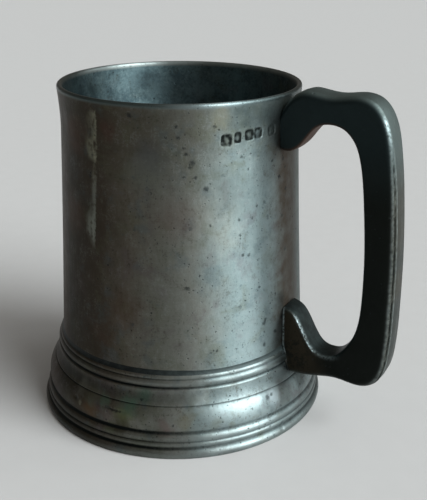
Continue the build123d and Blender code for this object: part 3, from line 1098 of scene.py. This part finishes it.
def handle_pewter():
    """Matt dark cheeks, their near-black partly patina and partly painted shade for the dark room
    they reflect, with the spine and the edges rubbed to grey and painted with highlights.
    """
    finish = Finish("handle_pewter")
    step, blend = finish.step, finish.blend
    mottle = finish.noise(4, 4, 0.62)
    speck = finish.noise(0.9, 3, 0.6)
    cloud = finish.noise(16, 3, 0.55)
    streaks = finish.noise(1, 4, 0.65, stretch=(0.9, 1.6, 0.1))
    pits = finish.pits(1.7, 0.24, 0.5)
    # The rubbed map paints highlights on the shoulder and heel, with some real rub, and a painted
    # glint at the lower root
    rubbed = finish.wear_map("rubbed") * step(speck, 0.3, 0.62)
    # Paler on the upper arm: a painted sheen where it faces up to the light
    upper = step(finish.z + (cloud - 0.5) * 16, 88, 108)
    cheek = finish.wear_map("cheek") + (mottle - 0.5) * 0.12 - rubbed * 0.2
    cheek = step(cheek, 0.05, 0.72)
    spine = finish.laid_over(
        blend(step(cloud, 0.42, 0.62), SPINE_GREY, SPINE_OLIVE),
        (upper, SPINE_UPPER),
        (step(mottle, 0.5, 0.72) * (0.3 - 0.2 * upper), BROWN_PEWTER),
        (step(streaks, 0.54, 0.7) * (0.28 - 0.15 * upper), RUBBED_PEWTER),
    )
    below = 1 - upper
    rooted = 1 - step(finish.x + (mottle - 0.5) * 12, 52, 66)
    stale = step(speck * 0.3 + streaks * 0.15 + mottle * 0.55, 0.47, 0.58) * rooted
    dark = finish.laid_over(
        blend(upper, CHEEK_PATINA_AND_SHADE, CHEEK_TEAL_SHEEN),
        (rooted * below * (0.3 + 1.4 * mottle), CHEEK_BROWN),
        (stale * below * 0.8, CHEEK_PATINA_AND_SHADE),
        # The far cheek is painted paler, standing in for light that the far side barely gets
        (step(finish.y, 1, 5) * (0.4 + 0.5 * mottle), FAR_CHEEK),
    )
    # Under the upper arm the inner surface is brown: a painted reflection
    inner = blend(upper, blend(step(mottle, 0.4, 0.65), GRIP_GREY, GRIP_DARK), GRIP_PAINTED_REFLECTION)
    base = finish.laid_over(
        spine,
        (cheek, dark),
        (finish.wear_map("grip") * 0.9, inner),
        (pits * 0.5, PIT_DARK),
        (finish.wear_map("crest") * 0.75, LINE_BRIGHT),
        (rubbed, blend(step(finish.x, 74, 80) * below, HIGHLIGHT_AND_RUB_COOL, HIGHLIGHT_AND_RUB_WARM)),
        (finish.wear_map("hollow") * 1.1, GROOVE_DIRT),
    )
    rough = 0.46 + (mottle - 0.5) * 0.24 + (speck - 0.5) * 0.12 + cheek * 0.04
    rough = rough + step(finish.z, 97, 103) * 0.08 - rubbed * 0.22
    relief = (mottle - 0.5) * 0.9 + (speck - 0.5) * 0.5 + (streaks - 0.5) * 0.5 - pits
    return finish.surface(base, rough, relief, depth=0.00007, Metallic=1)


def solder(name, size, first, second, metallic, rough, wiped=None):
    """Solder clouded in two colours, and paler in a third toward the handle's side."""
    finish = Finish(name)
    mottle = finish.noise(size, 4, 0.6)
    base = finish.blend(finish.step(mottle, 0.4, 0.68), first, second)
    if wiped:
        base = finish.blend(finish.step(finish.x, 5, 48) * (0.4 + mottle), base, wiped)
    rough = rough + (mottle - 0.5) * 0.2
    return finish.surface(base, rough, mottle, depth=0.0001, Metallic=metallic)


def pale_paper():
    """The plain pale ground."""
    finish = Finish("pale_ground")
    grain = finish.noise(9, 3, 0.5)
    base = finish.blend(grain, GROUND_PALE, GROUND_PALER)
    return finish.surface(base, 0.85, Specular_IOR_Level=0.2)


def finished(piece, material):
    """Give the piece the one material."""
    piece.data.materials.clear()
    piece.data.materials.append(material)


def place_camera():
    """The photograph's viewpoint, in the measure's own frame."""
    pitch = math.radians(CAMERA_PITCH)
    aside, ahead = math.sin(CAMERA_YAW), math.cos(CAMERA_YAW)
    view = Vector((aside * math.cos(pitch), ahead * math.cos(pitch), -math.sin(pitch)))
    level = Vector((ahead, -aside, 0))
    upward = level.cross(view)
    right = math.cos(CAMERA_ROLL) * level + math.sin(CAMERA_ROLL) * upward
    up = math.cos(CAMERA_ROLL) * upward - math.sin(CAMERA_ROLL) * level
    turn = Matrix.Rotation(math.radians(CAMERA_TURN), 4, "Z")
    basis = Matrix((right, up, -view)).transposed().to_4x4()
    width, height = FRAME_PIXELS
    lens = bpy.data.cameras.new("viewpoint")
    lens.sensor_fit = "VERTICAL"
    lens.sensor_height = SENSOR_HEIGHT
    lens.lens = SENSOR_HEIGHT * FOCAL_PIXELS / height
    lens.shift_x = (width / 2 - CENTRE_PIXEL[0]) / height
    lens.shift_y = (CENTRE_PIXEL[1] - height / 2) / height
    lens.clip_start = 0.01
    camera = placed("viewpoint", lens)
    camera.matrix_world = turn @ Matrix.Translation((0, -CAMERA_REACH, CAMERA_HEIGHT)) @ basis
    bpy.context.scene.camera = camera


def add_lamp(name, azimuth, elevation, strength, colour, width):
    """A far, wide lamp that shines at the drum from the azimuth and elevation."""
    light = bpy.data.lights.new(name, "SUN")
    light.energy = strength
    light.color = colour
    light.angle = math.radians(width)
    lamp = placed(name, light)
    a, e = math.radians(azimuth), math.radians(elevation)
    toward = Vector((math.cos(a) * math.cos(e), math.sin(a) * math.cos(e), math.sin(e)))
    place = Matrix.Translation(toward + Vector((0, 0, LAMP_AIM)))
    lamp.matrix_world = place @ toward.to_track_quat("Z", "Y").to_matrix().to_4x4()


def light_studio():
    """Broad soft daylight from the handle's side, a weak lamp overhead and a dim warm sky."""
    world = bpy.data.worlds.new("dim_sky")
    world.use_nodes = True
    sky = world.node_tree.nodes["Background"]
    sky.inputs["Color"].default_value = SKY_COLOUR
    sky.inputs["Strength"].default_value = SKY_STRENGTH
    bpy.context.scene.world = world
    for lamp in LAMPS:
        add_lamp(*lamp)


def lay_ground():
    """The pale ground, wide enough to fill the view."""
    mesh = bpy.data.meshes.new("ground")
    corners = [
        (x * GROUND_REACH, y * GROUND_REACH, -GROUND_GAP)
        for x, y in ((-1, -1), (1, -1), (1, 1), (-1, 1))
    ]
    mesh.from_pydata(corners, [], [(0, 1, 2, 3)])
    ground = placed("ground", mesh)
    finished(ground, pale_paper())


def make_measure():
    """Dress every node of the frame."""
    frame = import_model()
    drum_finish = turned_pewter("drum_pewter", DRUM_STAINS, DRUM_TINTS, LINING_PAINTED_SHADE, dirt=1.8)
    foot_finish = turned_pewter(
        "foot_pewter", FOOT_STAINS, FOOT_TINTS_AND_PAINTED_LIGHT, shade_bands=FOOT_SHADE_BANDS,
        gloss=0.09, dirt=1.2, grit=1.5,
    )
    dark_solder = solder(
        "dark_solder", 2.0, SOLDER_BLACK, SOLDER_DIRTY, 0.8, 0.5, wiped=SOLDER_WIPED
    )
    # The lower root's solder is painted pale: a painted glint along the edge of the joint
    glint_solder = solder("glint_solder", 1.6, SOLDER_GLINT, SOLDER_DULL, 1.0, 0.42)
    pieces = (
        (build_drum(), drum_finish, "drum", "drum_pewter"),
        (build_foot(), foot_finish, "foot", "foot_pewter"),
        (build_floor_disc(), drum_finish, "floor_disc", "floor_pewter"),
        (build_foot_solder(), dark_solder, "foot_joint_solder", "dark_solder"),
        (build_handle(), handle_pewter(), "handle", "handle_pewter"),
    )
    for piece, material, node, slot in pieces:
        finished(piece, material)
        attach(piece, "root")
        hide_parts(node)
    for node in ("upper_root_solder", "floor_joint_solder"):
        finished(frame["nodes"][node], dark_solder)
    finished(frame["nodes"]["lower_root_solder"], glint_solder)
    lay_ground()
    light_studio()
    place_camera()
    bpy.context.scene.view_settings.view_transform = "Standard"


make_measure()
